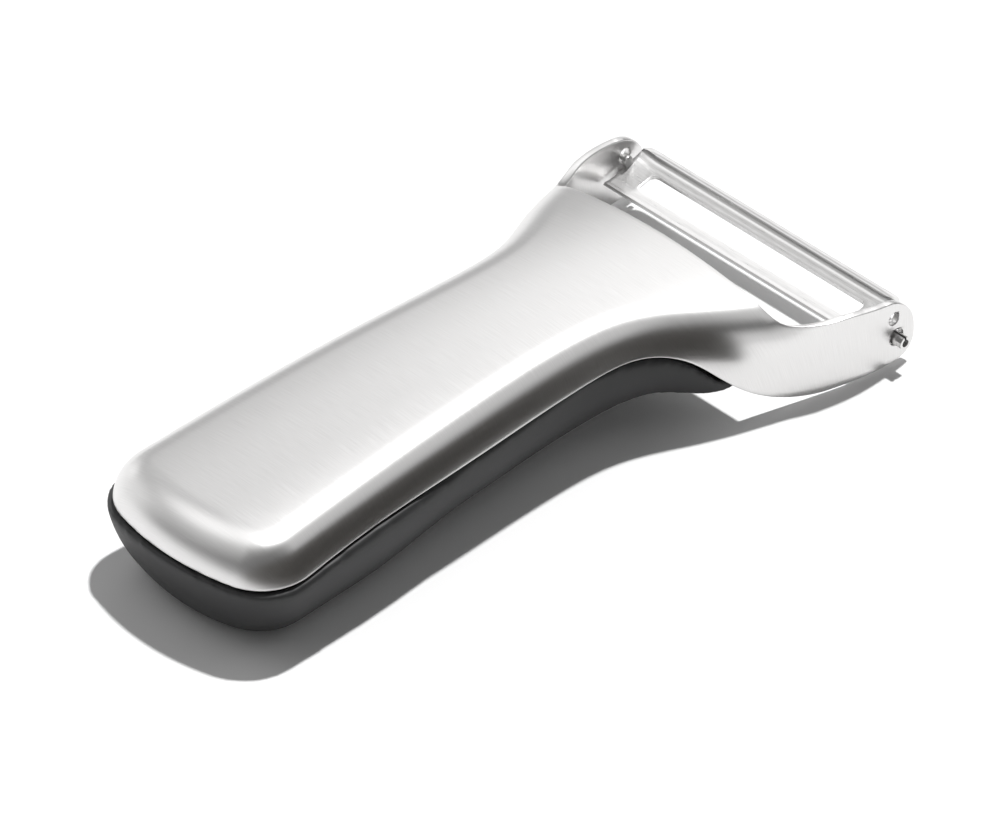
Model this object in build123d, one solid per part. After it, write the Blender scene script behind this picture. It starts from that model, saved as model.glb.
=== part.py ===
from build123d import *
import os
from math import atan2, cos, degrees, radians, sin, sqrt

# Yoke peeler: a pressed sheet top with two arms, a rubber grip below it and a slotted blade that swings.
# While it is drawn, X runs from the butt of the sheet to the arm tips, Y across, Z up from the table.

# Plan of the pressed sheet: half widths at named places along its length
tip_x = 149.4
butt_bow = 4.8
butt_half = 22.85
butt_corner = 11.0
straight_x = 30.0
straight_half = 21.55
middle_x = 60.0
middle_half = 20.0
waist_x = 84.0
waist_half = 19.0
flare_start_x = 98.0
flare_start_half = 20.5
flare_middle_x = 110.0
flare_middle_half = 26.0
flare_end_x = 122.0
flare_end_half = 30.8
arm_turn_x = 134.0
arm_turn_half = 34.1
arm_x = 142.0
arm_half = 35.1
blank_overrun = 12.0

# Sheet and roof of the shell
sheet = 1.5
shoulder_radius = 8.5
crown_radius = 125.0
roof_butt_z = 22.6
roof_rear_x = 30.0
roof_rear_z = 25.0
roof_high_x = 74.0
roof_high_z = 26.3
roof_front_x = 120.4
roof_front_z = 23.3
blank_rise_x = 129.0
blank_rise_z = 29.5
blank_top_x = 141.0
blank_top_z = 33.0
crown_half_angle = 40.0

# Lower edge of the sheet, which is also the seam with the grip
seam_butt_z = 14.7
seam_rear_x = 22.0
seam_rear_z = 16.7
seam_middle_x = 52.0
seam_middle_z = 18.0
seam_waist_x = 86.0
seam_waist_z = 18.7
seam_turn_x = 97.0
seam_turn_z = 18.1
seam_fall_x = 104.0
seam_fall_z = 15.4
seam_steep_x = 110.0
seam_steep_z = 9.9
seam_low_x = 116.0
seam_low_z = 5.0
arm_foot_x = 122.0
arm_foot_z = 2.4
arm_low_x = 130.0
arm_low_z = 1.2

# Upper edge of the arms
arm_top_x = 136.0
arm_top_z = 15.5
arm_tip_top_z = 13.6
tip_upper_radius = 8.0
tip_lower_radius = 4.5
throat_x = 125.0
throat_z = 16.5
throat_corner_x = 121.2
throat_corner_z = 18.1
front_edge_low_z = 21.2

# Grip hull: how far the rubber stands proud, how round its bilge is, and how its belly arches to the neck
seam_gap = 0.4
grip_proud = 1.0
grip_lip_proud = 0.35
bilge_height = 17.0
bilge_reach = 17.5
bilge_base_degrees = 72.0
butt_bilge_share = 0.6
station_bilge_shares = (0.74, 1.02, 0.98, 0.9, 0.29, 0.0, 0.0, 0.0)
station_proud_shares = (0.7, -0.2, -0.9, 0.0, 0.0, 0.0, 0.0, 0.0)
bilge_level_degrees = (bilge_base_degrees, 56.0, 38.0, 19.0, 0.0)
corner_follow_share = 0.3
rubber = 2.4
belly_flat_x = 44.0
belly_rise_x = 64.0
belly_rise_z = 2.6
belly_waist_z = 5.2
belly_neck_x = 98.0
belly_neck_z = 8.4
belly_chin_x = 112.0
belly_chin_z = 6.5
nose_x = 118.2
nose_z = 13.0

# Rigid core between the sheet and the rubber
fit_gap = 0.3
core_wall = 2.0
core_floor = 2.6
core_roof_gap = 0.6
core_neck_drop = 2.5
well_step_z = 12.5
rib_thickness = 1.6
rib_drop = 1.5
rib_rear_x = 14.0
rib_middle_x = 58.0
rib_front_x = 101.0

# Fasteners that hold the sheet to the core
screw_rear_x = 33.0
screw_front_x = 80.0
screw_radius = 1.95
screw_head_radius = 3.5
screw_head_height = 2.2
screw_drive_radius = 1.3
screw_drive_depth = 1.2
screw_reach = 8.0
screw_seat_z = 10.0
screw_end_gap = 0.5
boss_radius = 3.6
boss_foot_z = 12.0
thread_gap = 0.05
head_gap = 0.2
tower_radius = 5.4

# Blade: a pressed strip with a long slot, two ears and a stop tab on each ear
blade_sheet = 0.8
blade_near_x = 137.9
blade_near_z = 8.1
blade_strip_z = 8.45
slot_near_x = 140.7
slot_far_x = 145.3
blade_far_strip_z = 9.05
blade_dish_x = 147.5
blade_dish_z = 9.75
blade_far_x = 149.2
blade_far_z = 10.9
blade_gap = 0.9
blade_corner = 2.2
slot_end_margin = 5.6
slot_corner = 1.3
ear_half_width = 2.1
ear_tip_half = 1.0
edge_grind = 1.3
edge_grind_depth = 0.45

# Swing of the blade about its two pins
pivot_x = 144.9
pivot_z = 6.1
pin_radius = 1.25
pin_bore = 0.75
pin_split = 0.45
pin_hole_radius = 1.7
pin_hole_lift = 0.25
pin_proud = 2.2
pin_press_gap = 0.02
stop_hole_radius = 1.3
stop_hole_x = 144.2
stop_hole_z = 10.7
stop_tab_depth = 1.0
stop_gap = 0.1
stop_tab_short = 0.2

cut_overrun = 5.0


def seam_points(drop):
    """Places along the lower edge of the sheet, lowered by drop."""
    return [
        (0, seam_butt_z - drop),
        (seam_rear_x, seam_rear_z - drop),
        (seam_middle_x, seam_middle_z - drop),
        (seam_waist_x, seam_waist_z - drop),
        (seam_turn_x, seam_turn_z - drop),
        (seam_fall_x, seam_fall_z - drop),
        (seam_steep_x, seam_steep_z - drop),
        (seam_low_x, seam_low_z - drop),
        (arm_foot_x, arm_foot_z - drop),
        (arm_low_x, arm_low_z - drop),
    ]


def side_prism(edges, half):
    """A face drawn in the side view, stretched to both sides."""
    return extrude(Plane.XZ * make_face(edges), amount=half, both=True)


def plan_face(grow, corner, z, proud=0, bilge=0):
    """The plan outline at height z: grown all round, then drawn in by the bilge at each place."""
    places = [
        (straight_x, straight_half),
        (middle_x, middle_half),
        (waist_x, waist_half),
        (flare_start_x, flare_start_half),
        (flare_middle_x, flare_middle_half),
        (flare_end_x, flare_end_half),
        (arm_turn_x, arm_turn_half),
        (arm_x, arm_half),
    ]
    rear_lean = Vector(straight_x - butt_bow, straight_half - butt_half)
    line = Spline(*places, tangents=(rear_lean, (1, 0)))
    run = []
    leans = []
    for place, proud_share, bilge_share in zip(places, station_proud_shares, station_bilge_shares):
        out = grow + proud * proud_share - bilge * bilge_share
        lean = line.tangent_at(line.param_at_point(place))
        run.append((place[0] - out * lean.Y, place[1] + out * lean.X))
        leans.append((lean.X, lean.Y))
    end = -grow - proud + bilge * butt_bilge_share
    front = tip_x + blank_overrun
    rear_x = end + butt_bow
    rear = (rear_x, run[0][1] + (rear_x - run[0][0]) * leans[0][1] / leans[0][0])
    left = Spline(*run, tangents=leans)
    side = [Line(rear, run[0]), left, Line(run[-1], (front, run[-1][1]))]
    edges = side + [mirror(e, Plane.XZ) for e in side] + [
        ThreePointArc((rear[0], -rear[1]), (end, 0), rear),
        Line((front, run[-1][1]), (front, -run[-1][1])),
    ]
    face = make_face(edges)
    corners = face.vertices().sort_by(Axis.X)[0:2]
    return Pos(0, 0, z) * fillet(corners, corner)


def crown_body(drop):
    """The space under the roof, arched along and across; past the front edge it rises clear of the arms."""
    lift = crown_radius - roof_high_z - drop
    roof = [
        (0, roof_butt_z + lift),
        (roof_rear_x, roof_rear_z + lift),
        (roof_high_x, roof_high_z + lift),
        (roof_front_x, roof_front_z + lift),
    ]
    line = Spline(*roof)
    rise = [
        roof[-1],
        (blank_rise_x, blank_rise_z + lift),
        (blank_top_x, blank_top_z + lift),
    ]
    blank = Spline(*rise, tangents=(line % 1, (1, 0)))
    lean = line % 0
    tail = (-blank_overrun, roof[0][1] - blank_overrun * lean.Y / lean.X)
    front = tip_x + blank_overrun + cut_overrun
    rim = [
        Line(tail, roof[0]),
        line,
        blank,
        Line(rise[-1], (front, rise[-1][1])),
        Line((front, rise[-1][1]), (front, 0)),
        Line((front, 0), (tail[0], 0)),
        Line((tail[0], 0), tail),
    ]
    section = Plane.XZ * make_face(rim)
    wedge = revolve(Rot(X=-crown_half_angle) * section, Axis.X, 2 * crown_half_angle)
    return Pos(0, 0, roof_high_z - crown_radius) * wedge


def pressed_block(inset, drop):
    """The outer form of the pressing, or what fits in its hollow: drawn in by inset, roof lowered by drop."""
    plan = plan_face(-inset, butt_corner - inset, 0)
    block = extrude(plan, amount=blank_top_z + cut_overrun) & crown_body(drop)
    rims = [e for e in block.edges().filter_by(Axis.Z, reverse=True) if e.center().Z > sheet]
    shoulder = [e for e in rims if abs(e.center().Y) > sheet or e.center().X < butt_corner]
    return fillet(shoulder, shoulder_radius - inset)


def side_outline():
    """Side view of the sheet: seam, arm, tip, throat and front edge, open above the roof."""
    seam = seam_points(0)
    top_z = roof_high_z + 2 * cut_overrun
    throat = Spline(
        (arm_top_x, arm_top_z),
        (throat_x, throat_z),
        (throat_corner_x, throat_corner_z),
        (roof_front_x, front_edge_low_z),
        tangents=((arm_top_x - tip_x, arm_top_z - arm_tip_top_z), (0, 1)),
    )
    edges = [
        Line((-cut_overrun, seam_butt_z), seam[0]),
        Spline(*seam, tangents=((1, 0), (1, 0))),
        Line(seam[-1], (tip_x, arm_low_z)),
        Line((tip_x, arm_low_z), (tip_x, arm_tip_top_z)),
        Line((tip_x, arm_tip_top_z), (arm_top_x, arm_top_z)),
        throat,
        Line((roof_front_x, front_edge_low_z), (roof_front_x, top_z)),
        Line((roof_front_x, top_z), (-cut_overrun, top_z)),
        Line((-cut_overrun, top_z), (-cut_overrun, seam_butt_z)),
    ]
    face = make_face(edges)
    tip = face.vertices().sort_by(Axis.X)[-2:].sort_by(Axis.Y)
    face = fillet(tip[0], tip_lower_radius)
    tip = face.vertices().filter_by(lambda v: abs(v.Y - arm_tip_top_z) < sheet / 2).sort_by(Axis.X)[-1]
    face = fillet(tip, tip_upper_radius)
    return extrude(Plane.XZ * face, amount=arm_half + cut_overrun, both=True)


def below_seam(drop):
    """Everything under the seam, lowered by drop, as far as the arms' low edge."""
    seam = seam_points(drop)
    edges = [
        Line((-cut_overrun, seam[0][1]), seam[0]),
        Spline(*seam, tangents=((1, 0), (1, 0))),
        Line(seam[-1], (tip_x, seam[-1][1])),
        Line((tip_x, seam[-1][1]), (tip_x, -cut_overrun)),
        Line((tip_x, -cut_overrun), (-cut_overrun, -cut_overrun)),
        Line((-cut_overrun, -cut_overrun), (-cut_overrun, seam[0][1])),
    ]
    return side_prism(edges, arm_half + cut_overrun)


def above_belly(lift):
    """Everything above the belly line, raised by lift, back from the nose."""
    nose = nose_x - lift
    top_z = roof_high_z + cut_overrun
    belly = [
        (belly_flat_x, lift),
        (belly_rise_x, belly_rise_z + lift),
        (waist_x, belly_waist_z + lift),
        (belly_neck_x, belly_neck_z + lift),
        (belly_chin_x, belly_chin_z + lift),
        (nose, nose_z + lift),
    ]
    edges = [
        Line((-cut_overrun, lift), belly[0]),
        Spline(*belly, tangents=((1, 0), (0, 1))),
        Line(belly[-1], (nose, top_z)),
        Line((nose, top_z), (-cut_overrun, top_z)),
        Line((-cut_overrun, top_z), (-cut_overrun, lift)),
    ]
    return side_prism(edges, arm_half + cut_overrun)


def hull(inset):
    """The boat-shaped lower body, or the same drawn in all round by inset."""
    levels = []
    base = sin(radians(bilge_base_degrees))
    for angle in bilge_level_degrees:
        bilge = bilge_reach * (1 - cos(radians(angle)))
        z = bilge_height * (1 - sin(radians(angle)) / base)
        corner = butt_corner - corner_follow_share * (bilge + inset)
        levels.append(plan_face(-inset, corner, z, grip_proud, bilge))
    lip = plan_face(-inset, butt_corner, seam_waist_z + seam_gap, grip_lip_proud)
    levels.append(lip)
    return loft(levels)


def cylinder(x, low, high, radius):
    """An upright round bar on the middle line, between two heights."""
    return Pos(x, 0, (low + high) / 2) * Cylinder(radius, high - low)


def make_steel_shell(outer, inner):
    """Pressed top, sides and arms in one sheet, with the pin holes and stop holes."""
    shell = (outer - inner) & side_outline()
    pin_hole = Pos(pivot_x, 0, pivot_z + pin_hole_lift) * Rot(X=90) * Cylinder(pin_hole_radius, 3 * arm_half)
    stop_hole = Pos(stop_hole_x, 0, stop_hole_z) * Rot(X=90) * Cylinder(stop_hole_radius, 3 * arm_half)
    return shell - pin_hole - stop_hole


def make_shell_bosses(inner):
    """Two threaded bosses welded under the roof, cut to fit its curve."""
    bosses = []
    for x in (screw_rear_x, screw_front_x):
        post = cylinder(x, boss_foot_z, roof_high_z, boss_radius) & inner
        bosses.append(post - cylinder(x, boss_foot_z, boss_foot_z + screw_reach, screw_radius + thread_gap))
    return Compound([b.solid() for b in bosses])


def make_core_screws():
    """Two pan screws that pull the core up to the bosses."""
    screws = []
    head_low = screw_seat_z - screw_head_height
    for x in (screw_rear_x, screw_front_x):
        head = cylinder(x, head_low, screw_seat_z, screw_head_radius)
        shank = cylinder(x, screw_seat_z, boss_foot_z + screw_reach - screw_end_gap, screw_radius)
        drive = cylinder(x, head_low, head_low + screw_drive_depth, screw_drive_radius)
        screws.append(head + shank - drive)
    return Compound([b.solid() for b in screws])


def core_outline():
    """Outer form of the rigid core: a hull inside the rubber and a tongue inside the sheet."""
    lower = hull(rubber) & below_seam(seam_gap)
    upper = pressed_block(sheet + fit_gap, sheet + core_roof_gap) - below_seam(-fit_gap)
    inset = 2 * sheet + fit_gap
    plan = plan_face(-inset, butt_corner - inset, 0)
    neck = (extrude(plan, amount=roof_high_z) & below_seam(-core_neck_drop)) - below_seam(core_neck_drop)
    return (lower + upper + neck) & above_belly(rubber)


def core_well():
    """The hollow of the tray, above its floor and inside its walls."""
    lower = hull(rubber + core_wall) & below_seam(seam_gap)
    inset = sheet + fit_gap + core_wall
    plan = plan_face(-inset, butt_corner - inset, well_step_z)
    upper = extrude(plan, amount=roof_high_z)
    return (lower + upper) & above_belly(rubber + core_floor)


def make_grip_core(outline):
    """Rigid tray with a floor, side walls, two screw towers and cross ribs."""
    well = core_well()
    rib_space = well & crown_body(sheet + core_roof_gap + rib_drop)
    rib_slices = []
    for x in (rib_rear_x, rib_middle_x, rib_front_x):
        rib_slices.append(Pos(x, 0, 0) * Box(rib_thickness, 3 * arm_half, 3 * roof_high_z))
    ribs = [rib_space & piece for piece in rib_slices]
    core = outline - well
    for rib in ribs:
        core += rib
    for x in (screw_rear_x, screw_front_x):
        core += cylinder(x, screw_seat_z, boss_foot_z, tower_radius)
        core += cylinder(x, rubber, screw_seat_z, tower_radius) & outline
        core -= cylinder(x, 0, screw_seat_z, screw_head_radius + head_gap)
        core -= cylinder(x, 0, boss_foot_z, screw_radius + head_gap)
    return core


def make_soft_grip(outline):
    """Rubber hull that wraps the core below the seam and closes the neck between the arms."""
    body = hull(0)
    skin = body & below_seam(seam_gap) & above_belly(0)
    chin_side = Pos(flare_middle_x + arm_half, 0, 0) * Box(2 * arm_half, 3 * arm_half, 3 * roof_high_z)
    inside = pressed_block(sheet + fit_gap, sheet + fit_gap)
    chin = (inside & above_belly(0) & (body + chin_side)) - above_belly(rubber)
    return (skin + chin) - outline


def blade_profile():
    """Side view of the pressed strip: flat near land, slot, and a dished far land with a raised rim."""
    near = [(blade_near_x, blade_near_z), (slot_near_x, blade_strip_z), (slot_far_x, blade_far_strip_z)]
    top = near + [(blade_dish_x, blade_dish_z), (blade_far_x, blade_far_z)]
    low = [(x, z - blade_sheet) for x, z in top]
    upper = Spline(*top)
    lower = Spline(*low)
    return make_face([upper, lower, Line(top[0], low[0]), Line(top[-1], low[-1])])


def ground_edge(half):
    """What the grindstone takes off the near side of the slot, along the edge that cuts."""
    start_x = slot_near_x - edge_grind
    slope = (blade_strip_z - blade_near_z) / (slot_near_x - blade_near_x)
    corners = [
        (start_x, blade_strip_z - edge_grind * slope),
        (slot_near_x, blade_strip_z - edge_grind_depth),
        (slot_near_x, blade_strip_z + edge_grind_depth),
        (start_x, blade_strip_z + edge_grind_depth),
    ]
    return extrude(Plane.XZ * make_face(Polyline(*corners, close=True)), amount=half, both=True)


def make_blade():
    """One pressed piece: slotted strip, an ear at each end, and a stop tab on each ear."""
    half = arm_half - sheet - blade_gap
    strip = extrude(Plane.XZ * blade_profile(), amount=half, both=True)
    wide = blade_far_x - blade_near_x
    trim = Pos((blade_far_x + blade_near_x) / 2, 0, 0) * extrude(Rectangle(wide, 2 * half), amount=roof_high_z)
    far_corners = trim.edges().filter_by(Axis.Z).sort_by(Axis.X)[-2:]
    strip = strip & fillet(far_corners, blade_corner)
    slot_size = Rectangle(slot_far_x - slot_near_x, 2 * (half - slot_end_margin))
    slot = extrude(fillet(slot_size.vertices(), slot_corner), amount=roof_high_z)
    strip = strip - Pos((slot_far_x + slot_near_x) / 2, 0, 0) * slot
    blade = strip - ground_edge(half - slot_end_margin - slot_corner)
    for side in (-1, 1):
        blade += make_ear(side, half)
    bore = Pos(pivot_x, 0, pivot_z) * Rot(X=90) * Cylinder(pin_radius + pin_press_gap, 2 * half)
    return blade - bore


def make_ear(side, half):
    """A finger that carries the pin and narrows upwards to the tab that runs in the stop hole."""
    reach = sqrt((stop_hole_x - pivot_x) ** 2 + (stop_hole_z - pivot_z) ** 2)
    lean = degrees(atan2(stop_hole_x - pivot_x, stop_hole_z - pivot_z)) - swing_degrees / 2
    root = (ear_half_width, 0)
    tip = (ear_tip_half, reach)
    taper = make_face(Polyline(root, tip, (-tip[0], tip[1]), (-root[0], root[1]), close=True))
    finger = taper + Circle(ear_half_width) + Pos(0, reach) * Circle(ear_tip_half)
    ear = extrude(Plane.XZ * finger, amount=blade_sheet / 2, both=True)
    ear = Pos(0, side * (half - blade_sheet / 2), 0) * ear
    out = arm_half - stop_tab_short
    tab = Pos(0, side * (half + out) / 2, reach) * Box(blade_sheet, out - half, stop_tab_depth)
    return Pos(pivot_x, 0, pivot_z) * Rot(Y=lean) * (ear + tab)


def make_pivot_pin(side):
    """A rolled pin, split along its top, pressed into the ear and standing out through the arm."""
    inner_end = arm_half - sheet - blade_gap - blade_sheet
    outer_end = arm_half + pin_proud
    long = outer_end - inner_end
    tube = Cylinder(pin_radius, long) - Cylinder(pin_bore, long)
    tube = tube - Pos(0, pin_radius, 0) * Box(pin_split, 2 * pin_radius, long)
    return Pos(pivot_x, side * (inner_end + long / 2), pivot_z) * Rot(X=90) * tube


def stop_travel():
    """How far the blade can swing, in degrees, before its tab meets the other side of the stop hole."""
    free = sqrt((stop_hole_radius - stop_gap) ** 2 - (stop_tab_depth / 2) ** 2) - blade_sheet / 2
    reach = sqrt((stop_hole_x - pivot_x) ** 2 + (stop_hole_z - pivot_z) ** 2)
    return 2 * degrees(atan2(free, reach))


swing_degrees = stop_travel()
outer_form = pressed_block(0, 0)
inner_form = pressed_block(sheet, sheet)
core_form = core_outline()
nodes = {
    "steel_shell": make_steel_shell(outer_form, inner_form),
    "shell_bosses": make_shell_bosses(inner_form),
    "core_screws": make_core_screws(),
    "grip_core": make_grip_core(core_form),
    "soft_grip": make_soft_grip(core_form),
    "blade": make_blade(),
    "pivot_pin_left": make_pivot_pin(1),
    "pivot_pin_right": make_pivot_pin(-1),
}

# The finished part stands with its origin below the middle of its length
to_frame = Pos((grip_proud - tip_x) / 2, 0, 0)
os.makedirs("parts", exist_ok=True)
for name, solid in nodes.items():
    export_step(to_frame * solid, f"parts/{name}.step")
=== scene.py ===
# %% [markdown]
# A yoke peeler, dressed for its picture.
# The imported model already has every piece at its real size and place.
# This lesson gives the pressed sheet, the rubber grip, the blade and the pins the surfaces and finishes
# that a camera sees: brushed steel, soft rubber and bright pressed strip.

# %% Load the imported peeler
from math import atan2, cos, hypot, pi, radians, sin, sqrt

import bpy
import numpy as np
from mathutils import Matrix, Vector


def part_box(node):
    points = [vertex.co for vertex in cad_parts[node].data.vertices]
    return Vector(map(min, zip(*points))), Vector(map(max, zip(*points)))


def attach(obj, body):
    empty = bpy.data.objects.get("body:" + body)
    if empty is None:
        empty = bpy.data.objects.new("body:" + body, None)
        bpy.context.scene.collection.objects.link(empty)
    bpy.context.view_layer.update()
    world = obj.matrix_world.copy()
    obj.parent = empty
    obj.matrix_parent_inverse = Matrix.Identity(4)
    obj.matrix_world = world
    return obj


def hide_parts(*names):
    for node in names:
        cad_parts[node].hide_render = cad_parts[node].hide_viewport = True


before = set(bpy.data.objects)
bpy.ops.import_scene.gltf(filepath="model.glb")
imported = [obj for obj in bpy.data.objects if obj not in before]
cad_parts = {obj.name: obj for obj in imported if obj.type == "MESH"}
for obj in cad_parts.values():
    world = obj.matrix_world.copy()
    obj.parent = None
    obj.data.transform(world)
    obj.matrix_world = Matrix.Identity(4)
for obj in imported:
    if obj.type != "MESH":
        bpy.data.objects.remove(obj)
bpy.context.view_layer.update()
mm = 0.001
shell_low, shell_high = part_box("steel_shell")
butt_x = shell_low.x
print("sheet, butt to tips:", round((shell_high.x - shell_low.x) / mm, 1), "mm")


# %% [markdown]
# The camera stands behind the butt, to the right of the handle, and looks down on the peeler's back.
# A long lens was used, so the far arm is nearly as large as the near one.
# Its place was found by fitting the sheet's outline to the picture: a bearing, a rise and a distance.

# %% Place the camera
image_width = 1000
sensor_width = 36
camera_bearing = radians(-44.119)
camera_rise = radians(37.011)
camera_roll = radians(0.2296)
camera_distance = 2777.35 * mm
focal_pixels = 15691
aim = Vector((0.8, 0, 10)) * mm
aim_right = 3.910 * mm
aim_up = -2.814 * mm

back = Vector((
    sin(camera_bearing) * cos(camera_rise),
    -cos(camera_bearing) * cos(camera_rise),
    sin(camera_rise),
))
level_right = Vector((cos(camera_bearing), sin(camera_bearing), 0))
level_up = back.cross(level_right)
right = level_right * cos(camera_roll) + level_up * sin(camera_roll)
up = level_up * cos(camera_roll) - level_right * sin(camera_roll)
centre = aim + right * aim_right + up * aim_up
bpy.ops.object.select_all(action="DESELECT")
bpy.ops.object.camera_add(location=centre + back * camera_distance)
camera = bpy.context.object
camera.rotation_euler = Matrix((right, up, back)).transposed().to_euler()
camera.data.sensor_width = sensor_width
camera.data.lens = focal_pixels * sensor_width / image_width
camera.data.clip_end = 3 * camera_distance
bpy.context.scene.camera = camera
print("lens:", round(camera.data.lens), "mm")


# %% [markdown]
# The sheet is drawn as a die maker draws it: a plan outline, a roof line and a lower edge.
# X runs from the butt to the arm tips, Y across, Z up from the table, all in millimetres.
# Each line is a thin spring pinned at a few places, because a spring bends as evenly as a pressing does,
# and brushed steel shows every uneven bend.

# %% A spring through pinned places
def spring_line(places, start, end, steps=40):
    """Points along a thin spring pinned at the places, with its directions at both ends."""
    pins = np.array(places, float)
    gaps = np.hypot(*np.diff(pins, axis=0).T)
    last = len(pins) - 1
    pull = np.zeros((last + 1, last + 1))
    lean = np.zeros((last + 1, 2))
    pull[0, 0] = pull[last, last] = 1
    lean[0] = np.array(start) / hypot(*start)
    lean[last] = np.array(end) / hypot(*end)
    for i in range(1, last):
        before, after = 1 / gaps[i - 1], 1 / gaps[i]
        pull[i, i - 1:i + 2] = before, 2 * (before + after), after
        lean[i] = 3 * ((pins[i] - pins[i - 1]) * before**2 + (pins[i + 1] - pins[i]) * after**2)
    lean = np.linalg.solve(pull, lean)
    run = []
    for i in range(last):
        for t in np.linspace(0, 1, steps, endpoint=False):
            run.append(
                (2 * t**3 - 3 * t**2 + 1) * pins[i] + (t**3 - 2 * t**2 + t) * gaps[i] * lean[i]
                + (3 * t**2 - 2 * t**3) * pins[i + 1] + (t**3 - t**2) * gaps[i] * lean[i + 1]
            )
    return np.array(run + [pins[last]])


# %% The lines of the pressed sheet
tip_x = 149.4
sheet = 1.5
butt_bow = 4.8
butt_half = 22.85
butt_corner = 11.0
shoulder_radius = 8.5
crown_radius = 125.0
roof_front_x = 120.4
arm_half = 35.1

plan_places = [
    (30, 21.55), (60, 20.0), (84, 19.0), (98, 20.5), (110, 26.0), (122, 30.8), (134, 34.1), (142, arm_half),
]
roof_places = [(0, 22.6), (30, 25.0), (74, 26.3), (roof_front_x, 23.3)]
seam_places = [
    (0, 14.7), (22, 16.7), (52, 18.0), (86, 18.7), (97, 18.1), (104, 15.4), (110, 9.9), (116, 5.0),
    (122, 2.4), (130, 1.2),
]
rear_lean = (plan_places[0][0] - butt_bow, plan_places[0][1] - butt_half)
plan_line = spring_line(plan_places, rear_lean, (1, 0))
roof_shape = np.polyfit(*np.array(roof_places).T, 3)
seam_line = spring_line(seam_places, (1, 0), (1, 0))
axis_z = max(z for x, z in roof_places) - crown_radius


def half_width(x):
    """Half the sheet's width at x, ahead of the butt's rounded corners."""
    if x < plan_places[0][0]:
        return plan_places[0][1] + (x - plan_places[0][0]) * rear_lean[1] / rear_lean[0]
    return float(np.interp(x, *plan_line.T))


def seam_z(x):
    """Height of the sheet's lower edge at x."""
    return float(np.interp(x, *seam_line.T))


def roof_z(x):
    """Height of the roof's ridge at x."""
    return float(np.polyval(roof_shape, x))


print("width at the waist:", round(2 * min(plan_line[:, 1]), 1), "mm")


# %% [markdown]
# The roof is arched across with one radius, and the shoulder between roof and side wall is the path of a
# ball that rolls along both. So a point of the skin is found from a place on the outline and an angle
# around the ball, and no seam shows between wall, shoulder and roof.

# %% The skin over the die
def crown_z(x, y):
    """Height of the arched roof at a place in the plan."""
    return sqrt((roof_z(x) - axis_z)**2 - y**2) + axis_z


def crown_lean(x, y):
    """Direction square to the arched roof, outwards."""
    step = 0.01
    radius = roof_z(x) - axis_z
    slope = (roof_z(x + step) - roof_z(x - step)) / (2 * step)
    return Vector((-slope, y / radius, sqrt(1 - (y / radius)**2))).normalized()


def ball_point(place, out, share):
    """A point of the shoulder: share 0 is the top of the flat wall and share 1 the edge of the roof."""
    ball = place - out * shoulder_radius
    foot = ball
    for _ in range(6):
        foot = ball + crown_lean(*foot).xy * shoulder_radius
    top = crown_lean(*foot)
    edge = Vector((foot.x, foot.y, crown_z(*foot)))
    return edge + (out.to_3d().slerp(top, share) - top) * shoulder_radius


def outline_place(x):
    """Place on the left side of the outline at x, and its outward direction."""
    step = 0.05
    slope = (half_width(x + step) - half_width(x - step)) / (2 * step)
    return Vector((x, half_width(x))), Vector((-slope, 1)).normalized()


def level_point(x, share):
    """The point of the shoulder that lies at x: the ball is rolled until it touches there."""
    start = x
    for _ in range(6):
        point = ball_point(*outline_place(start), share)
        start += x - point.x
    return point


shoulder_shares = np.linspace(0, 1, 20)
print("roof edge at the waist:", [round(v, 1) for v in level_point(84, 1)])


# %% [markdown]
# The outline's left half starts in the middle of the bowed butt, goes round the corner and runs along the
# side. Stations are spaced along it. At each one a section climbs from the lower edge over the shoulder,
# and then crosses the roof to the middle line. Behind a pole near the butt the sections fan out.

# %% Stations round the butt and along the side
bow_radius = (butt_half**2 + butt_bow**2) / (2 * butt_bow)
bow_middle = Vector((bow_radius, 0))
side_run = Vector(rear_lean).normalized()
side_out = Vector((-side_run.y, side_run.x))
start = Vector((butt_bow, butt_half)) - side_out * butt_corner - bow_middle
ahead = side_run.dot(start)
corner_middle = bow_middle + start + side_run * (
    -ahead - sqrt(ahead**2 - start.length_squared + (bow_radius - butt_corner)**2)
)


def round_places(middle, radius, first, last, count):
    """Places along an arc between two directions, with their outward directions."""
    angles = np.linspace(atan2(first.y, first.x), atan2(last.y, last.x), count)
    outs = [Vector((cos(a), sin(a))) for a in angles]
    return [(middle + out * radius, out) for out in outs]


corner_out = (corner_middle - bow_middle).normalized()
bow_places = round_places(bow_middle, bow_radius, Vector((-1, 0)), corner_out, 14)
corner_places = round_places(corner_middle, butt_corner, corner_out, side_out, 18)
side_start_x = corner_places[-1][0].x
side_steps = 84
side_xs = np.linspace(side_start_x, roof_front_x, side_steps + 1)[1:]
fan_pole_x = 24.0


def even_points(line, count):
    """Points spaced evenly along a line of points."""
    line = np.array(line, float)
    run = np.concatenate(([0], np.cumsum(np.linalg.norm(np.diff(line, axis=0), axis=1))))
    return np.array([np.interp(np.linspace(0, run[-1], count), run, axis) for axis in line.T]).T


def above_edge(points, edge_z):
    """The part of a climbing section above the edge curve, starting exactly on it."""
    over = [p.z - edge_z(p.x) for p in points]
    first = next(i for i, height in enumerate(over) if height > 0)
    share = over[first] / (over[first] - over[first - 1])
    return [points[first].lerp(points[first - 1], share)] + points[first:]


shoulder_rows = 20
roof_rows = 16


def sheet_section(points):
    """Rows of one station: up the wall and the shoulder, then over the roof to the middle line."""
    climb = even_points(above_edge(points, seam_z), shoulder_rows)
    x, y, z = climb[-1]
    spine_x = max(x, fan_pole_x)
    roof = []
    for share in np.linspace(0, 1, roof_rows)[1:]:
        plan = (x + (spine_x - x) * share, y * (1 - share))
        roof.append((*plan, crown_z(*plan)))
    return list(climb) + roof


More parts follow.
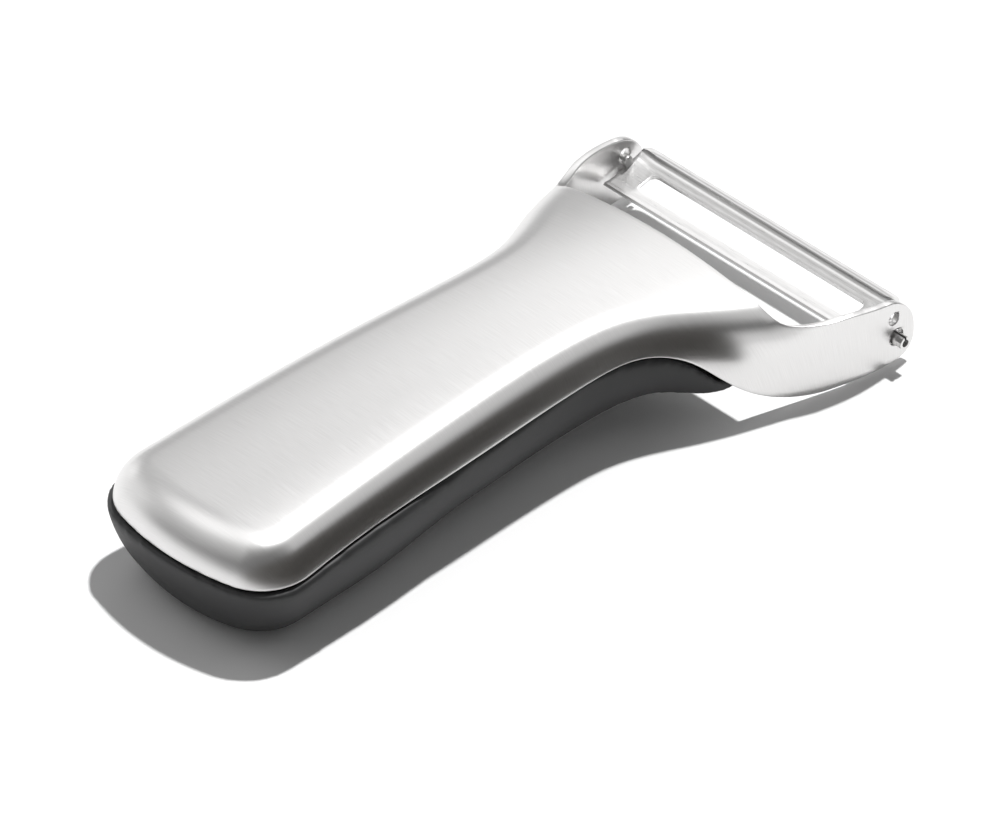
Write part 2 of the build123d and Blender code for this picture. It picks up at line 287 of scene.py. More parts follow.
sheet_table = []
for place, out in bow_places + corner_places:
    wall_foot = Vector((place.x, place.y, 0))
    sheet_table.append(sheet_section([wall_foot] + [ball_point(place, out, s) for s in shoulder_shares]))
for x in side_xs:
    wall_foot = Vector((x, half_width(x), 0))
    sheet_table.append(sheet_section([wall_foot] + [level_point(x, s) for s in shoulder_shares]))
print("stations along half the sheet:", len(sheet_table), "with", len(sheet_table[0]), "points each")


# %% [markdown]
# Each arm is the same sheet, cut to shape ahead of the roof's front edge: a throat above, the seam's line
# below and a rounded tip. The front edge first leans forward into the throat, so that edge and arm meet in
# one curve. Between four edge lines the points are then laid as a weaver lays a mat, every row a mix of the
# two long edges and every column a mix of the two short ones.

# %% Lean the sheet's front edge into the throat
flat_arm_x = 132.0
throat_start_z = 18.4
throat_lean = 0.9


def skin_half(x, z):
    """Half width of the skin at a place in the side view: the shoulder fades out into the flat arm."""
    if x > flat_arm_x:
        return half_width(x)
    shoulder = [level_point(x, share) for share in shoulder_shares]
    curled = float(np.interp(z, [p.z for p in shoulder], [p.y for p in shoulder]))
    fade = (x - roof_front_x) / (flat_arm_x - roof_front_x)
    return curled + (half_width(x) - curled) * (3 * fade**2 - 2 * fade**3)


front = sheet_table[-1]
roof_edge_z = front[shoulder_rows - 1][2]
throat_row = next(j for j, point in enumerate(front) if point[2] > throat_start_z)
throat_drop = roof_edge_z - front[throat_row][2]
for j in range(shoulder_rows):
    x = roof_front_x + throat_lean * min((roof_edge_z - front[j][2]) / throat_drop, 1)**2
    z = front[j][2] if j else seam_z(x)
    front[j] = (x, skin_half(x, z), z)
print("rows of the arm's root:", throat_row + 1)

# %% Outline of an arm, seen from the side
arm_tip_top_z = 13.6
tip_upper_radius = 8.0
tip_lower_radius = 4.5
arm_low_z = seam_places[-1][1]
arm_top = Vector((136, 15.5))
root_edge = [(x, z) for x, y, z in front[:throat_row + 1]]
throat_places = [root_edge[-1], (125.0, 16.5), arm_top]
arm_run = Vector((tip_x, arm_tip_top_z)) - arm_top
arm_out = Vector((-arm_run.y, arm_run.x)).normalized()
upper_middle = arm_top - arm_out * tip_upper_radius
upper_middle += arm_run.normalized() * (tip_x - tip_upper_radius - upper_middle.x) / arm_run.normalized().x
lower_middle = Vector((tip_x - tip_lower_radius, arm_low_z + tip_lower_radius))
tip_split = pi / 4


def arc_points(middle, radius, first, last, count=12):
    """Points on an arc between two angles."""
    return [(middle.x + radius * cos(a), middle.y + radius * sin(a)) for a in np.linspace(first, last, count)]


arm_out_angle = atan2(arm_out.y, arm_out.x)
low_edge = [(x, seam_z(x)) for x in np.linspace(root_edge[0][0], seam_places[-1][0], 30)]
low_edge += arc_points(lower_middle, tip_lower_radius, -pi / 2, -tip_split)
top_edge = list(spring_line(throat_places, (2 * throat_lean, -throat_drop), arm_run))
top_edge += arc_points(upper_middle, tip_upper_radius, arm_out_angle, tip_split)
tip_edge = arc_points(lower_middle, tip_lower_radius, -tip_split, 0)
tip_edge += arc_points(upper_middle, tip_upper_radius, 0, tip_split)
print("throat is", round(roof_edge_z - arm_top.y, 1), "mm deep")

# %% Points of the arm's skin
arm_stations = 30
lows = even_points(low_edge, arm_stations)
tops = even_points(top_edge, arm_stations)
tips = even_points(tip_edge, throat_row + 1)
roots = np.array(root_edge)
arm_table = []
for i, u in enumerate(np.linspace(0, 1, arm_stations)):
    column = []
    for j, v in enumerate(np.linspace(0, 1, throat_row + 1)):
        corners = (
            (1 - u) * (1 - v) * lows[0] + u * (1 - v) * lows[-1] + (1 - u) * v * tops[0] + u * v * tops[-1]
        )
        x, z = (1 - v) * lows[i] + v * tops[i] + (1 - u) * roots[j] + u * tips[j] - corners
        column.append((x, skin_half(x, z), z))
    arm_table.append(column)
arm_table[0] = front[:throat_row + 1]
print("arm columns:", len(arm_table))


# %% [markdown]
# The real sheet is pressed from a flat blank, and so is this one. A flat grid gets one vertex for each
# point of the table and is pressed to it. Half the sheet is made, mirrored, and then given its thickness.

# %% Press a flat blank to a table of points
def press_blank(name, table):
    """A flat grid whose vertices are pressed to the table's points, one column for each station."""
    columns, rows = len(table), len(table[0])
    bpy.ops.object.select_all(action="DESELECT")
    bpy.ops.mesh.primitive_grid_add(x_subdivisions=columns - 1, y_subdivisions=rows - 1, size=1)
    blank = bpy.context.object
    blank.name = name
    for vertex in blank.data.vertices:
        column = round((vertex.co.x + 1 / 2) * (columns - 1))
        row = round((vertex.co.y + 1 / 2) * (rows - 1))
        x, y, z = table[column][row]
        vertex.co = (butt_x + x * mm, y * mm, z * mm)
    return blank


def apply_modifier(piece, kind, **settings):
    """Adds a modifier with its settings and applies it."""
    bpy.ops.object.select_all(action="DESELECT")
    piece.select_set(True)
    bpy.context.view_layer.objects.active = piece
    modifier = piece.modifiers.new(kind.lower(), kind)
    for key, value in settings.items():
        setattr(modifier, key, value)
    bpy.ops.object.modifier_apply(modifier=modifier.name)


def merge_points(piece, inside=False):
    """Joins vertices that lie on each other and turns the faces outwards."""
    bpy.ops.object.select_all(action="DESELECT")
    piece.select_set(True)
    bpy.context.view_layer.objects.active = piece
    bpy.ops.object.mode_set(mode="EDIT")
    bpy.ops.mesh.select_all(action="SELECT")
    bpy.ops.mesh.remove_doubles(threshold=0.002 * mm)
    bpy.ops.mesh.normals_make_consistent(inside=inside)
    bpy.ops.object.mode_set(mode="OBJECT")


sheet_piece = press_blank("pressed_sheet", sheet_table)
press_blank("arm", arm_table)
sheet_piece.select_set(True)
bpy.context.view_layer.objects.active = sheet_piece
bpy.ops.object.join()
merge_points(sheet_piece)
apply_modifier(sheet_piece, "MIRROR", use_axis=(False, True, False), merge_threshold=0.01 * mm)
merge_points(sheet_piece)
top_face = max(sheet_piece.data.polygons, key=lambda face: face.center.z)
if top_face.normal.z < 0:
    merge_points(sheet_piece, inside=True)
print("sheet skin:", len(sheet_piece.data.polygons), "faces, ridge faces", round(top_face.normal.z, 2))

# %% Lay the brushing on the flat blank
def unfolded(vertex):
    """Where a point of the pressing was on the flat blank: its place in plan, moved out by its drop."""
    x, y, z = (vertex.co.x - butt_x) / mm, vertex.co.y / mm, vertex.co.z / mm
    drop = max(crown_z(x, y) - z, 0)
    side = vertex.normal.xy
    if side.length > 0:
        side = side.normalized()
    return (x + side.x * drop, y + side.y * drop)


blank_map = sheet_piece.data.uv_layers.new(name="blank")
flat_places = [unfolded(vertex) for vertex in sheet_piece.data.vertices]
for loop in sheet_piece.data.loops:
    blank_map.data[loop.index].uv = Vector(flat_places[loop.vertex_index]) * mm
sheet_piece.data.uv_layers.active = blank_map
print("flat blank is", round(max(p[1] for p in flat_places) * 2), "mm wide")

# %% Give the sheet its thickness and drill the arms
pivot_x, pivot_z = 144.9, 6.1
pin_hole_radius, pin_hole_lift = 1.7, 0.25
stop_hole_radius, stop_hole_x, stop_hole_z = 1.3, 144.2, 10.7
edge_round = 0.22
apply_modifier(sheet_piece, "SOLIDIFY", thickness=sheet * mm, offset=-1, use_even_offset=True)


def drill(piece, x, z, radius):
    """Cuts a round hole across both arms."""
    bpy.ops.object.select_all(action="DESELECT")
    bpy.ops.mesh.primitive_cylinder_add(
        vertices=48, radius=radius * mm, depth=3 * arm_half * mm,
        location=(butt_x + x * mm, 0, z * mm), rotation=(pi / 2, 0, 0),
    )
    cutter = bpy.context.object
    apply_modifier(piece, "BOOLEAN", operation="DIFFERENCE", solver="EXACT", object=cutter)
    bpy.data.objects.remove(cutter)


drill(sheet_piece, pivot_x, pivot_z + pin_hole_lift, pin_hole_radius)
drill(sheet_piece, stop_hole_x, stop_hole_z, stop_hole_radius)
apply_modifier(
    sheet_piece, "BEVEL", width=edge_round * mm, segments=3, limit_method="ANGLE",
    angle_limit=radians(50), use_clamp_overlap=False,
)
bpy.ops.object.select_all(action="DESELECT")
sheet_piece.select_set(True)
bpy.context.view_layer.objects.active = sheet_piece
bpy.ops.object.shade_smooth_by_angle(angle=radians(35))
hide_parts("steel_shell")
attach(sheet_piece, "handle")
print("sheet:", len(sheet_piece.data.polygons), "faces")


# %% [markdown]
# The blade is one strip of hard sheet. Punching cuts its outline and its long slot while it is flat, and the
# press then gives it its section: a crest behind the ground near edge, a shallow dish beyond the slot, and a
# step up to a raised rim that keeps the strip stiff. The same order works here: cut flat first, then press.
# The two ears are flat pieces that stand across its ends, each with a tab that stops in its arm's hole.

# %% Punch the flat blade
blade_sheet = 0.8
blade_near_x, blade_far_x = 137.9, 149.2
slot_near_x, slot_far_x = 140.7, 145.3
blade_side_gap = 0.9
slot_end_land = 5.6
blade_half = arm_half - sheet - blade_side_gap
slot_half = blade_half - slot_end_land
blade_corner, slot_corner = 2.2, 1.3
corner_steps = 8


def plate(name, x_span, half, corner, low, high, rounded_near=True):
    """A flat plate between two heights with rounded corners, or with only the far ones rounded."""
    bpy.ops.object.select_all(action="DESELECT")
    bpy.ops.mesh.primitive_cube_add(
        size=mm, location=(butt_x + sum(x_span) / 2 * mm, 0, (low + high) / 2 * mm),
        scale=(x_span[1] - x_span[0], 2 * half, high - low),
    )
    piece = bpy.context.object
    piece.name = name
    bpy.ops.object.transform_apply(location=True, rotation=True, scale=True)
    bpy.ops.object.mode_set(mode="EDIT")
    bpy.ops.mesh.select_mode(type="EDGE")
    bpy.ops.mesh.select_all(action="DESELECT")
    bpy.ops.object.mode_set(mode="OBJECT")
    for edge in piece.data.edges:
        first, last = (piece.data.vertices[i].co for i in edge.vertices)
        upright = (first.xy - last.xy).length < (high - low) / 2 * mm
        edge.select = upright and (rounded_near or first.x > butt_x + sum(x_span) / 2 * mm)
    bpy.ops.object.mode_set(mode="EDIT")
    bpy.ops.mesh.bevel(offset=corner * mm, segments=corner_steps, affect="EDGES")
    bpy.ops.object.mode_set(mode="OBJECT")
    return piece


blade_piece = plate(
    "slotted_blade", (blade_near_x, blade_far_x), blade_half, blade_corner, 0, blade_sheet,
    rounded_near=False,
)
slot_punch = plate("slot_punch", (slot_near_x, slot_far_x), slot_half, slot_corner, -sheet, 2 * sheet)
apply_modifier(blade_piece, "BOOLEAN", operation="DIFFERENCE", solver="EXACT", object=slot_punch)
bpy.data.objects.remove(slot_punch)
print("flat blade:", len(blade_piece.data.vertices), "vertices")

# %% Press the blade's section
blade_top_places = [
    (blade_near_x, 7.85), (138.0, 8.02), (138.2, 8.14), (138.45, 8.16), (138.9, 8.1), (139.2, 8.1),
    (slot_near_x, 8.28), (slot_far_x, 9.36), (146.0, 9.42), (146.6, 9.54), (147.0, 9.66), (147.3, 9.8),
    (147.55, 9.98), (147.75, 10.2), (147.87, 10.45), (148.0, 10.7), (148.2, 10.86), (148.55, 10.93),
    (148.9, 10.96), (blade_far_x, 10.9),
]
blade_low_places = [
    (blade_near_x, 7.6), (slot_near_x, 7.65), (slot_far_x, 8.56), (147.2, 9.0), (148.1, 9.9),
    (blade_far_x, 10.16),
]
blade_rim_top = blade_top_places[-2][1]
curl_lift = 0.7
curl_from = 27.5
curl_near_x, curl_rim_x = 142.0, 147.0
curl_cuts = (curl_from, 28.8, 30.0, 31.0, 31.9)


def slice_piece(piece, point, normal):
    """Cuts new edges through the whole piece along a plane."""
    bpy.ops.object.mode_set(mode="EDIT")
    bpy.ops.mesh.select_all(action="SELECT")
    bpy.ops.mesh.bisect(plane_co=point, plane_no=normal)
    bpy.ops.object.mode_set(mode="OBJECT")


bpy.ops.object.select_all(action="DESELECT")
blade_piece.select_set(True)
bpy.context.view_layer.objects.active = blade_piece
for x, z in blade_top_places[1:-1]:
    slice_piece(blade_piece, (butt_x + x * mm, 0, 0), (1, 0, 0))
for y in curl_cuts:
    for side in (-1, 1):
        slice_piece(blade_piece, (0, side * y * mm, 0), (0, 1, 0))


def end_curl(x, y):
    """How far the far land curls up towards the ears."""
    along = min(max((x - curl_near_x) / (curl_rim_x - curl_near_x), 0), 1)
    out = max(abs(y) - curl_from, 0) / (blade_half - curl_from)
    return curl_lift * along * out**2


for vertex in blade_piece.data.vertices:
    x, y = (vertex.co.x - butt_x) / mm, vertex.co.y / mm
    places = blade_top_places if vertex.co.z > blade_sheet / 2 * mm else blade_low_places
    pressed = float(np.interp(x, *np.array(places).T))
    vertex.co.z = min(pressed + end_curl(x, y), blade_rim_top) * mm
print("pressed blade:", len(blade_piece.data.polygons), "faces")

# %% Ears with their stop tabs
stop_reach = hypot(stop_hole_x - pivot_x, stop_hole_z - pivot_z)
swing_degrees = 16.8
rest_lean = atan2(stop_hole_x - pivot_x, stop_hole_z - pivot_z) - radians(swing_degrees) / 2
ear_half_width, ear_neck_half, ear_tip_half = 2.1, 0.8, 1.0
ear_neck_share = 0.62
ear_turn = radians(25)
tab_inset = 0.2
tab_long = arm_half - tab_inset - blade_half
tab_width, tab_height, tab_round = 0.8, 1.0, 0.3


def ear_outline():
    """Half the outline of the ear, from under the pin to its tip: (across, along) places."""
    root = [(ear_half_width * cos(a), ear_half_width * sin(a)) for a in np.linspace(-pi / 2, ear_turn, 14)]
    neck = [(ear_neck_half, stop_reach * ear_neck_share)]
    tip_angles = np.linspace(-ear_turn, pi / 2, 10)
    tip = [(ear_tip_half * cos(a), stop_reach + ear_tip_half * sin(a)) for a in tip_angles]
    return [(0, -ear_half_width)] + root[1:] + neck + tip


def make_ear(side):
    """A flat ear inside one arm, leaning as the blade rests, with a tab that reaches into the stop hole."""
    half_outline = ear_outline()
    outline = half_outline + [(-across, along) for across, along in half_outline[-2:0:-1]]
    bpy.ops.object.select_all(action="DESELECT")
    bpy.ops.mesh.primitive_circle_add(vertices=len(outline), radius=mm, fill_type="NGON")
    ear = bpy.context.object
    for vertex, (across, along) in zip(ear.data.vertices, outline):
        vertex.co = Vector((across, 0, along)) * mm
    apply_modifier(ear, "SOLIDIFY", thickness=blade_sheet * mm, offset=0)
    bpy.ops.mesh.primitive_cube_add(
        size=mm, location=(0, side * (blade_sheet + tab_long) / 2 * mm, stop_reach * mm),
        scale=(tab_width, tab_long, tab_height),
    )
    tab = bpy.context.object
    bpy.ops.object.transform_apply(location=True, rotation=True, scale=True)
    apply_modifier(tab, "BEVEL", width=tab_round * mm, segments=3)
    ear.select_set(True)
    bpy.context.view_layer.objects.active = ear
    bpy.ops.object.join()
    place = Vector((butt_x + pivot_x * mm, side * (blade_half - blade_sheet / 2) * mm, pivot_z * mm))
    ear.data.transform(Matrix.Translation(place) @ Matrix.Rotation(rest_lean, 4, "Y"))
    merge_points(ear)
    return ear


for side in (-1, 1):
    ear = make_ear(side)
    ear.select_set(True)
    blade_piece.select_set(True)
    bpy.context.view_layer.objects.active = blade_piece
    bpy.ops.object.join()
blade_edge_round = 0.07
apply_modifier(
    blade_piece, "BEVEL", width=blade_edge_round * mm, segments=2, limit_method="ANGLE",
    angle_limit=radians(50), use_clamp_overlap=True,
)
bpy.ops.object.select_all(action="DESELECT")
blade_piece.select_set(True)
bpy.context.view_layer.objects.active = blade_piece
bpy.ops.object.shade_smooth_by_angle(angle=radians(30))
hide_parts("blade")
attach(blade_piece, "blade_swing")
print("blade:", len(blade_piece.data.polygons), "faces")


# %% [markdown]
# The rubber is moulded round the core as one skin, so all its edges are soft. Moulding is the model here
# too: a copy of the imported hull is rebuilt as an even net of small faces, and a few rounds of smoothing
# roll its sharp edges over, most of all the lip under the sheet, which catches a thin line of light.

# %% Mould the rubber hull
moulding_cell = 0.65
moulding_rounds = 10
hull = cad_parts["soft_grip"]
grip_piece = bpy.data.objects.new("rubber_hull", hull.data.copy())
bpy.context.collection.objects.link(grip_piece)
merge_points(grip_piece)
apply_modifier(grip_piece, "REMESH", mode="VOXEL", voxel_size=moulding_cell * mm)
apply_modifier(grip_piece, "SMOOTH", factor=0.5, iterations=moulding_rounds)
bpy.ops.object.select_all(action="DESELECT")
grip_piece.select_set(True)
bpy.context.view_layer.objects.active = grip_piece
bpy.ops.object.shade_smooth()
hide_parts("soft_grip")
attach(grip_piece, "handle")
print("rubber hull:", len(grip_piece.data.polygons), "faces")


# %% [markdown]
# Brushing leaves fine scratches across the sheet, and they spread every highlight. The scratches are a noise
# that is drawn out along one direction. Several pieces use it, so it is a node group. The sheet's scratches
# lie on its flat blank and bend with it, and its shine is drawn out the same way.

# %% Node helpers and the scratch pattern
def new_tree_node(tree, kind, **settings):
    """Adds a node to a tree, with its settings and the plain values of its sockets."""
    node = tree.nodes.new(kind)
    for key, value in settings.items():
        if key in node.inputs:
            node.inputs[key].default_value = value
        else:
            setattr(node, key, value)
    return node


def new_group(name, inputs, outputs):
    """A shader node group with named sockets; returns it with its entry and exit."""
    group = bpy.data.node_groups.new(name, "ShaderNodeTree")
    for socket, kind, value in inputs:
        made = group.interface.new_socket(socket, in_out="INPUT", socket_type=kind)
        if value is not None:
            made.default_value = value
    for socket, kind in outputs:
        group.interface.new_socket(socket, in_out="OUTPUT", socket_type=kind)
    return group, group.nodes.new("NodeGroupInput"), group.nodes.new("NodeGroupOutput")


scratch_height = 0.02 * mm
scratch_group, scratch_in, scratch_out = new_group(
    "fine_scratches",
    [
        ("Place", "NodeSocketVector", None), ("Across", "NodeSocketFloat", 9000.0),
        ("Along", "NodeSocketFloat", 160.0), ("Depth", "NodeSocketFloat", 0.1),
    ],
    [("Streaks", "NodeSocketFloat"), ("Normal", "NodeSocketVector")],
)
stretch = new_tree_node(scratch_group, "ShaderNodeCombineXYZ")
scaled = new_tree_node(scratch_group, "ShaderNodeVectorMath", operation="MULTIPLY")
noise = new_tree_node(scratch_group, "ShaderNodeTexNoise", Scale=1.0, Detail=3.0, Roughness=0.6)
bump = new_tree_node(scratch_group, "ShaderNodeBump", Distance=scratch_height)
scratch_group.links.new(scratch_in.outputs["Across"], stretch.inputs["X"])
scratch_group.links.new(scratch_in.outputs["Along"], stretch.inputs["Y"])
scratch_group.links.new(scratch_in.outputs["Along"], stretch.inputs["Z"])
scratch_group.links.new(scratch_in.outputs["Place"], scaled.inputs[0])
scratch_group.links.new(stretch.outputs["Vector"], scaled.inputs[1])
scratch_group.links.new(scaled.outputs["Vector"], noise.inputs["Vector"])
scratch_group.links.new(noise.outputs["Fac"], bump.inputs["Height"])
scratch_group.links.new(scratch_in.outputs["Depth"], bump.inputs["Strength"])
scratch_group.links.new(noise.outputs["Fac"], scratch_out.inputs["Streaks"])
scratch_group.links.new(bump.outputs["Normal"], scratch_out.inputs["Normal"])
print("groups:", [g.name for g in bpy.data.node_groups])


# %% Brushed steel
streak_low, streak_high = 0.25, 0.75
gloss_spread = 0.15


def ramp_between(tree, low, high, first, second):
    """A colour ramp from one colour to another between two values."""
    ramp = tree.nodes.new("ShaderNodeValToRGB")
    ramp.color_ramp.elements[0].position = low
    ramp.color_ramp.elements[1].position = high
    ramp.color_ramp.elements[0].color = (*first, 1)
    ramp.color_ramp.elements[1].color = (*second, 1)
    return ramp


def steel(name, dark, light, rough, aniso, across, along, depth, map_name=None):
    """Brushed or rolled steel, with scratches across the flat blank or across the object."""
    material = bpy.data.materials.new(name)
    material.use_nodes = True
    tree = material.node_tree
    shader = tree.nodes["Principled BSDF"]
    shader.inputs["Metallic"].default_value = 1
    shader.inputs["Anisotropic"].default_value = aniso
    scratches = new_tree_node(tree, "ShaderNodeGroup", node_tree=scratch_group)
    scratches.inputs["Across"].default_value = across
    scratches.inputs["Along"].default_value = along
    scratches.inputs["Depth"].default_value = depth
    if map_name:
        place = new_tree_node(tree, "ShaderNodeUVMap", uv_map=map_name)
        tree.links.new(place.outputs["UV"], scratches.inputs["Place"])
        tangent = new_tree_node(tree, "ShaderNodeTangent", direction_type="UV_MAP", uv_map=map_name)
        tree.links.new(tangent.outputs["Tangent"], shader.inputs["Tangent"])
    else:
        place = new_tree_node(tree, "ShaderNodeTexCoord")
        tree.links.new(place.outputs["Object"], scratches.inputs["Place"])
    tone = ramp_between(tree, streak_low, streak_high, dark, light)
    tree.links.new(scratches.outputs["Streaks"], tone.inputs["Fac"])
    tree.links.new(tone.outputs["Color"], shader.inputs["Base Color"])
    gloss = new_tree_node(tree, "ShaderNodeMapRange")
    gloss.inputs["To Min"].default_value = rough * (1 - gloss_spread)
    gloss.inputs["To Max"].default_value = rough * (1 + gloss_spread)
    tree.links.new(scratches.outputs["Streaks"], gloss.inputs["Value"])
    tree.links.new(gloss.outputs["Result"], shader.inputs["Roughness"])
    tree.links.new(scratches.outputs["Normal"], shader.inputs["Normal"])
    return material


shell_steel = steel(
    "brushed_sheet", (0.70, 0.693, 0.688), (0.79, 0.784, 0.78),
    rough=0.335, aniso=0.5, across=9000, along=160, depth=0.09, map_name="blank",
)
blade_steel = steel(
    "rolled_strip", (0.66, 0.655, 0.65), (0.78, 0.775, 0.77),
    rough=0.29, aniso=0.0, across=5000, along=300, depth=0.05,
)
plated_steel = steel(
    "plated_steel", (0.55, 0.54, 0.52), (0.68, 0.67, 0.65),
    rough=0.34, aniso=0.0, across=2500, along=2500, depth=0.1,
)
sheet_piece.data.materials.clear()
sheet_piece.data.materials.append(shell_steel)


def dress(node, material):
    """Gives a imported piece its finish."""
    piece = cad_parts[node]
    piece.data.materials.clear()
    piece.data.materials.append(material)


blade_piece.data.materials.clear()
blade_piece.data.materials.append(blade_steel)
for node in ("pivot_pin_left", "pivot_pin_right"):
    dress(node, blade_steel)
for node in ("core_screws", "shell_bosses"):
    dress(node, plated_steel)
print("steels:", shell_steel.name, blade_steel.name)

# %% [markdown]
# The rubber is a soft charcoal compound with a dull skin: the mould's fine grain breaks up every highlight,
# and handling leaves it a little smoother in broad patches. The core is a harder black plastic with a
# shallower grain, so it shines a little more. Each has a fine noise for the grain and a broad one for the
# patches.

# %% Rubber and core plastic
patch_scale = 90.0
patch_low, patch_high = 0.3, 0.7
grain_height = 0.05 * mm


def moulded(name, dark, light, smooth, dull, grain, depth):
    """Moulded rubber or plastic: broad patches in tone and gloss, and a fine grain."""
    material = bpy.data.materials.new(name)
    material.use_nodes = True
    tree = material.node_tree
    shader = tree.nodes["Principled BSDF"]
    place = new_tree_node(tree, "ShaderNodeTexCoord")
    patches = new_tree_node(tree, "ShaderNodeTexNoise", Scale=patch_scale, Detail=3.0, Roughness=0.55)
    fine = new_tree_node(tree, "ShaderNodeTexNoise", Scale=grain, Detail=2.0, Roughness=0.6)
    tree.links.new(place.outputs["Object"], patches.inputs["Vector"])
    tree.links.new(place.outputs["Object"], fine.inputs["Vector"])
    tone = ramp_between(tree, patch_low, patch_high, dark, light)
    tree.links.new(patches.outputs["Fac"], tone.inputs["Fac"])
    tree.links.new(tone.outputs["Color"], shader.inputs["Base Color"])
    gloss = new_tree_node(tree, "ShaderNodeMapRange")
    gloss.inputs["To Min"].default_value = smooth
    gloss.inputs["To Max"].default_value = dull
    tree.links.new(patches.outputs["Fac"], gloss.inputs["Value"])
    tree.links.new(gloss.outputs["Result"], shader.inputs["Roughness"])
    bump = new_tree_node(tree, "ShaderNodeBump", Strength=depth, Distance=grain_height)
    tree.links.new(fine.outputs["Fac"], bump.inputs["Height"])
    tree.links.new(bump.outputs["Normal"], shader.inputs["Normal"])
    return material


rubber = moulded(
    "charcoal_rubber", (0.021, 0.021, 0.022), (0.031, 0.031, 0.032),
    smooth=0.5, dull=0.64, grain=6000.0, depth=0.6,
)
core_plastic = moulded(
    "black_plastic", (0.018, 0.018, 0.019), (0.026, 0.026, 0.027),
    smooth=0.42, dull=0.55, grain=4000.0, depth=0.3,
)
grip_piece.data.materials.clear()
grip_piece.data.materials.append(rubber)
dress("grip_core", core_plastic)
print("moulded:", rubber.name, core_plastic.name)


# %% [markdown]
# The studio: a white table, and one strong lamp high up beyond the blade, which gives the crisp shadow and
# the bright band along the sheet's right edge. Polished metal is only as good as what it mirrors, so the rest
# is there to be mirrored: soft cards of light for the grey roof and its dark stripe, and a black flag close
# on the right for the dark band under the bright one. The flag stops short of the arms, which stay light, and
# hangs clear of the table, so that the sheet's lower rim mirrors the table.

# %% Table
def dull_surface(name, colour):
    """A surface of one colour with no shine, for the things around the peeler."""
    material = bpy.data.materials.new(name)
    material.use_nodes = True
    shader = material.node_tree.nodes["Principled BSDF"]
    shader.inputs["Base Color"].default_value = (*colour, 1)
    shader.inputs["Roughness"].default_value = 1
    shader.inputs["Specular IOR Level"].default_value = 0
    return material


table_size = 6
bpy.ops.object.select_all(action="DESELECT")
bpy.ops.mesh.primitive_plane_add(size=table_size)
table = bpy.context.object
table.name = "table"
table.data.materials.append(dull_surface("table_white", (0.88, 0.88, 0.88)))
print("table:", table_size, "m wide")

# %% Black flag beside the handle
flag_y = -36 * mm
flag_low, flag_top = 7 * mm, 38 * mm
flag_far, flag_near = -250 * mm, 39 * mm
bpy.ops.object.select_all(action="DESELECT")
bpy.ops.mesh.primitive_plane_add(
    size=1, location=((flag_far + flag_near) / 2, flag_y, (flag_low + flag_top) / 2), rotation=(pi / 2, 0, 0),
)
flag = bpy.context.object
flag.name = "black_flag"
flag.scale = (flag_near - flag_far, flag_top - flag_low, 1)
bpy.ops.object.transform_apply(location=True, rotation=True, scale=True)
for ray in ("camera", "diffuse", "shadow", "transmission", "volume_scatter"):
    setattr(flag, "visible_" + ray, False)
flag.data.materials.append(dull_surface("flag_black", (0.09, 0.085, 0.08)))
print("flag stands", round(-flag_y / mm), "mm to the right of the middle line")

# %% Lamp
lamp_way = Vector((0.438, 0.105, 1))
bpy.ops.object.light_add(type="SUN", location=lamp_way)
lamp = bpy.context.object
lamp.rotation_euler = lamp_way.to_track_quat("Z", "Y").to_euler()
lamp.data.energy = 3.4
lamp.data.angle = radians(3)
print("lamp stands", round(lamp_way.z / lamp_way.length, 2), "high")

# %% Cards in the dark
# Each card: its bearing from +X towards +Y, its rise, where it is full and where it ends, all in degrees,
# and how bright it is.
cards = [
    (66, 25, 16, 34, 0.42),
    (60, 52, 8, 24, 0.13),
    (138, 45, 16, 34, 0.42),
    (-38, 46, 4, 20, 0.8),
    (-88, 8, 12, 28, 0.8),
    (30, 26, 6, 18, 0.9),
    (44, 37, 4, 14, 0.5),
    (102, 5, 16, 34, 0.9),
    (115, 59, 9, 22, 1.0),
]
dim_share = 0.75
dusk = 0.14
world = bpy.context.scene.world or bpy.data.worlds.new("studio")
bpy.context.scene.world = world
world.use_nodes = True
sky = world.node_tree
sky.nodes.clear()
way = new_tree_node(sky, "ShaderNodeTexCoord")


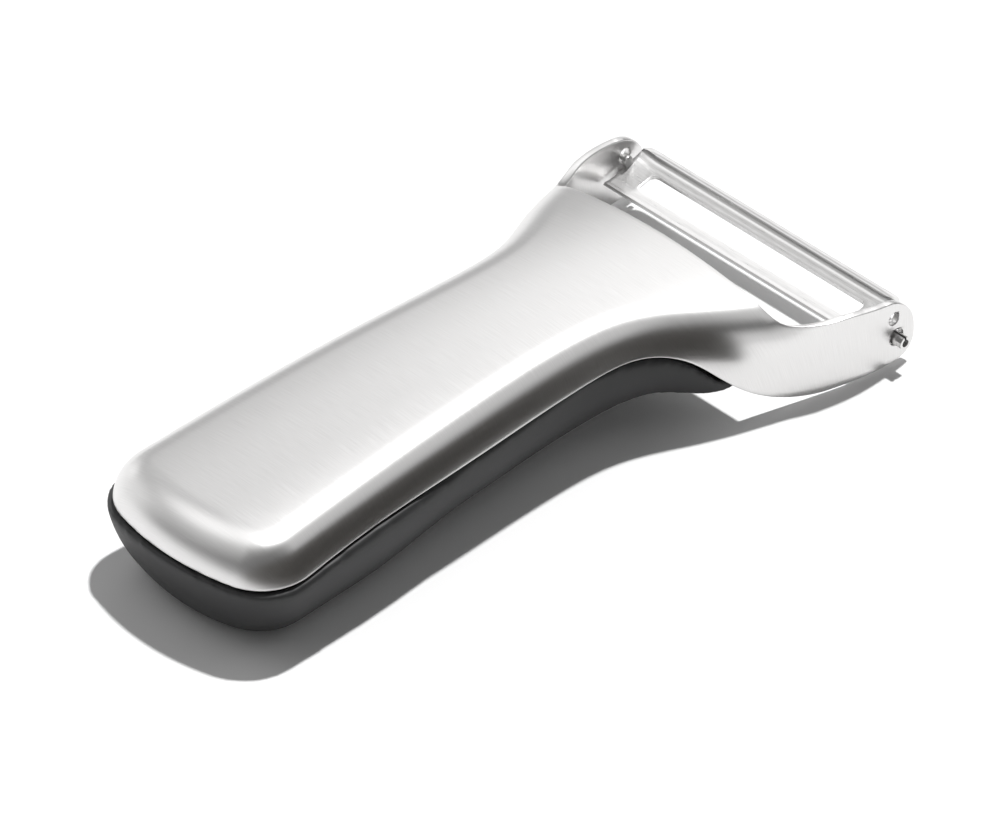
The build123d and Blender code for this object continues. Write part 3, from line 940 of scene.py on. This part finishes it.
def card_glow(bearing, rise, inner, outer, strength):
    """Light from a soft round card: full within the inner angle of its direction, gone at the outer one."""
    direction = (
        cos(radians(bearing)) * cos(radians(rise)),
        sin(radians(bearing)) * cos(radians(rise)),
        sin(radians(rise)),
    )
    facing = new_tree_node(sky, "ShaderNodeVectorMath", operation="DOT_PRODUCT")
    facing.inputs[1].default_value = direction
    sky.links.new(way.outputs["Generated"], facing.inputs[0])
    glow = new_tree_node(sky, "ShaderNodeMapRange", interpolation_type="SMOOTHSTEP")
    glow.inputs["From Min"].default_value = cos(radians(outer))
    glow.inputs["From Max"].default_value = cos(radians(inner))
    glow.inputs["To Max"].default_value = strength
    sky.links.new(facing.outputs["Value"], glow.inputs["Value"])
    return glow.outputs["Result"]


glow = card_glow(*cards[0])
for card in cards[1:]:
    add = new_tree_node(sky, "ShaderNodeMath", operation="ADD")
    sky.links.new(glow, add.inputs[0])
    sky.links.new(card_glow(*card), add.inputs[1])
    glow = add.outputs["Value"]
print("cards:", len(cards))

# %% The cards as metal, table and camera see them
seen = new_tree_node(sky, "ShaderNodeLightPath")
share = new_tree_node(sky, "ShaderNodeMapRange")
share.inputs["To Min"].default_value = dim_share
share.inputs["To Max"].default_value = 1
sky.links.new(seen.outputs["Is Glossy Ray"], share.inputs["Value"])
lit = new_tree_node(sky, "ShaderNodeMath", operation="MULTIPLY_ADD")
lit.inputs[2].default_value = dusk
sky.links.new(glow, lit.inputs[0])
sky.links.new(share.outputs["Result"], lit.inputs[1])
backdrop = new_tree_node(sky, "ShaderNodeMapRange")
backdrop.inputs["To Max"].default_value = 1
sky.links.new(seen.outputs["Is Camera Ray"], backdrop.inputs["Value"])
sky.links.new(lit.outputs["Value"], backdrop.inputs["To Min"])
studio = new_tree_node(sky, "ShaderNodeBackground", Strength=1.0)
sky.links.new(backdrop.outputs["Result"], studio.inputs["Color"])
exit_node = new_tree_node(sky, "ShaderNodeOutputWorld")
sky.links.new(studio.outputs["Background"], exit_node.inputs["Surface"])
bpy.context.scene.view_settings.view_transform = "Standard"
print("world nodes:", len(sky.nodes))
